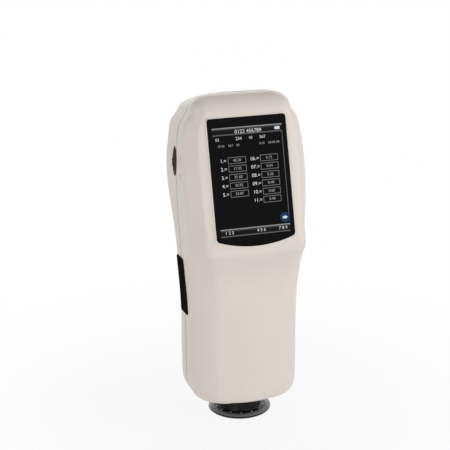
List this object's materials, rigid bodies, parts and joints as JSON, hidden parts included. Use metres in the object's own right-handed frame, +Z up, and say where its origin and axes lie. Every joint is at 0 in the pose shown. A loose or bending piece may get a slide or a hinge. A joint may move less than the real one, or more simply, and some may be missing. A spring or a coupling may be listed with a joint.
{
  "type": "handheld colour spectrophotometer",
  "caption": "Handheld colour spectrophotometer with a leaning display, a thumb button, a power dial, a port flap and a round calibration cap that it stands on.",
  "frame": {"origin": "centre of the flat underside of the calibration cap, on the surface the instrument stands on", "axes": "+X is the viewer's right when facing the display, the display faces -Y, +Z is up"},
  "size_m": [0.0888, 0.0863, 0.2346],
  "materials": {
    "housing_plastic": "fine satin moulded texture",
    "cover_glass": "polished",
    "tape": "matt",
    "display": "smooth",
    "bracket_steel": "stamped",
    "board": "solder mask",
    "chip": "moulded",
    "spacer": "turned",
    "black_plastic": "satin",
    "gloss_black": "glossy",
    "dark_grey": "satin",
    "battery_wrap": "film",
    "foam": "foam",
    "steel": "machined",
    "flap_rubber": "satin",
    "white_ceramic": "glazed",
    "sphere_white": "diffuse white",
    "led": "clear",
    "lens": "polished",
    "anodised": "black anodised",
    "grating": "ruled",
    "mirror": "coated",
    "frame_metal": "sheet",
    "screw_steel": "blackened",
    "insert_brass": "knurled"
  },
  "bodies": {
    "housing": {"front_shell": "housing_plastic", "rear_shell": "housing_plastic", "display_window": "cover_glass", "lcd_module": "display", "aperture_collar": "black_plastic", "window_tape": "tape", "lcd_bracket": "bracket_steel", "main_board": "board", "board_chips": "chip", "board_spacers": "spacer", "buzzer": "black_plastic", "battery": "battery_wrap", "battery_tray": "black_plastic", "battery_pad": "foam", "dial_pin": "steel", "power_switch": "chip", "button_board": "board", "measure_switch": "chip", "port_board": "board", "usb_socket": "steel", "dc_jack": "black_plastic", "aperture_plate": "anodised", "sphere_lower": "sphere_white", "sphere_upper": "sphere_white", "lamp_board": "board", "lamp_leds": "led", "lens_tube": "anodised", "viewing_lens": "lens", "spectrometer_case": "anodised", "spectrometer_cover": "anodised", "diffraction_grating": "grating", "focus_mirror": "mirror", "sensor_board": "board", "optics_frame": "frame_metal", "case_screws": "screw_steel", "screw_inserts": "insert_brass"},
    "power_dial": {"power_dial": "dark_grey"},
    "measure_button": {"measure_button": "black_plastic"},
    "port_cover": {"port_cover": "flap_rubber"},
    "calibration_cap": {"calibration_cap": "gloss_black", "calibration_tile": "white_ceramic", "tile_ring": "anodised"}
  },
  "joints": [
    {"name": "dial_turn", "type": "hinge", "parent": "housing", "child": "power_dial", "pos_m": [-0.0149, 0.006, 0.187], "axis": [0, -1, 0], "range_deg": [0, 12]},
    {"name": "button_press", "type": "slide", "parent": "housing", "child": "measure_button", "axis": [1, 0, 0], "range_m": [0, 0.0015], "stiffness_N_per_m": 1200, "springref_m": -0.0004},
    {"name": "port_cover_open", "type": "hinge", "parent": "housing", "child": "port_cover", "pos_m": [0, 0.02149, 0.22884], "axis": [-1, 0, 0], "range_deg": [0, 95]},
    {"name": "cap_off", "type": "slide", "parent": "housing", "child": "calibration_cap", "axis": [0, 0, -1], "range_m": [0, 0.03]}
  ]
}
